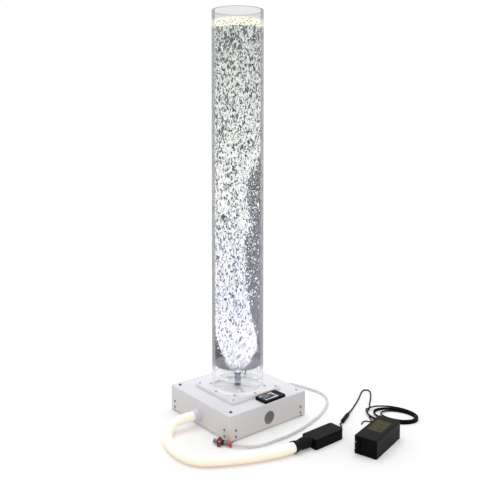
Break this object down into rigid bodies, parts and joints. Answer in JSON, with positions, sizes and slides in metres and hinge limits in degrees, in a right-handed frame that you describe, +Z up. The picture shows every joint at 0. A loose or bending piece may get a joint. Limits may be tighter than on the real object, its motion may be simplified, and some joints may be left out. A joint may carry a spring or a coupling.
{
  "type": "bubble tube floor lamp",
  "caption": "Tall clear water column with rising bubbles on a square lit base, with glowing conduit, control box, mains adapter, drain hose with ball valve, and card remote.",
  "frame": {"origin": "on the floor under the centre of the square base", "axes": "+Z up along the water column; +Y towards the base side away from the spare port; +X towards the base side with the drain outlet, the conduit gland being on the -X side"},
  "size_m": [0.7655, 0.6175, 1.246],
  "materials": {
    "white_housing": "satin moulded",
    "pale_grey_plastic": "matt",
    "black_rubber": "matt",
    "steel_fasteners": "plain",
    "dark_fasteners": "dark",
    "blue_cap": "gloss",
    "grey_gasket": "matt",
    "clear_acrylic": "polished",
    "clear_silicone": "soft clear",
    "water": "clear with bubbles",
    "frosted_nozzle": "gloss",
    "white_plastic": "matt",
    "white_board": "printed board",
    "lit_chips": "lit",
    "lilac_gland": "satin",
    "glowing_conduit": "milky, lit from inside",
    "black_plastic": "fine texture",
    "green_board": "printed board",
    "pump_metal": "plain",
    "black_cable": "satin",
    "bright_metal": "bright plated",
    "red_collar": "gloss",
    "maroon_plastic": "satin",
    "key_pad": "soft, keys in many colours"
  },
  "bodies": {
    "lamp": {"base_housing": "white_housing", "floor_plate": "pale_grey_plastic", "rubber_feet": "black_rubber", "foot_screws": "steel_fasteners", "corner_posts": "pale_grey_plastic", "top_screws": "steel_fasteners", "screw_caps": "blue_cap", "side_screws": "dark_fasteners", "plate_gasket": "grey_gasket", "flange_plate": "clear_acrylic", "plate_screws": "steel_fasteners", "ring_screw_set": "steel_fasteners", "acrylic_tube": "clear_acrylic", "tube_plug": "clear_acrylic", "plug_seal": "clear_silicone", "water": "water", "nozzle_body": "frosted_nozzle", "nozzle_cap": "blue_cap", "nozzle_nut": "steel_fasteners", "light_tray": "white_plastic", "led_board": "white_board", "led_chips": "lit_chips", "air_line": "clear_silicone", "gland": "lilac_gland", "gland_nut": "lilac_gland", "glow_conduit": "glowing_conduit", "conduit_boot": "black_rubber", "control_lid": "black_plastic", "control_tray": "black_plastic", "control_board": "green_board", "air_pump": "pump_metal", "lead_grommet": "black_rubber", "pigtail": "black_cable", "dc_socket": "black_plastic", "dc_plug": "black_plastic", "dc_lead": "black_cable", "lead_coil": "black_cable", "lead_tail": "black_cable", "lead_tie": "black_cable", "lead_relief": "black_cable", "psu_cover": "black_plastic", "psu_case": "black_plastic", "psu_board": "green_board", "plug_boss": "black_plastic", "mains_pins": "bright_metal", "drain_elbow": "white_plastic", "drain_line": "clear_silicone", "drain_outlet": "white_plastic", "drain_hose": "clear_silicone", "hose_collar": "red_collar", "valve_body": "bright_metal", "valve_seal": "black_rubber"},
    "check_ball": {"check_ball": "white_plastic"},
    "drain_handle": {"valve_ball": "bright_metal", "valve_handle": "maroon_plastic"},
    "remote": {"remote_cover": "black_plastic", "remote_case": "black_plastic"},
    "keypad": {"remote_keys": "key_pad"},
    "battery_drawer": {"battery_tray": "black_plastic", "coin_cell": "bright_metal"}
  },
  "joints": [
    {"name": "drain_valve_turn", "type": "hinge", "parent": "lamp", "child": "drain_handle", "pos_m": [-0.17234, -0.13938, 0.0085], "axis": [-0.7648, -0.383, 0.518], "range_deg": [0, 90]},
    {"name": "check_ball_lift", "type": "slide", "parent": "lamp", "child": "check_ball", "axis": [0, 0, 1], "range_m": [0, 0.002]},
    {"name": "remote_lift_off", "type": "slide", "parent": "lamp", "child": "remote", "axis": [0, 0, 1], "range_m": [0, 0.06]},
    {"name": "keypad_press", "type": "slide", "parent": "remote", "child": "keypad", "axis": [0, 0, -1], "range_m": [0, 0.0003], "stiffness_N_per_m": 2500, "springref_m": -0.0002},
    {"name": "battery_drawer_slide", "type": "slide", "parent": "remote", "child": "battery_drawer", "axis": [0.999, 0.0436, 0], "range_m": [0, 0.026]}
  ]
}
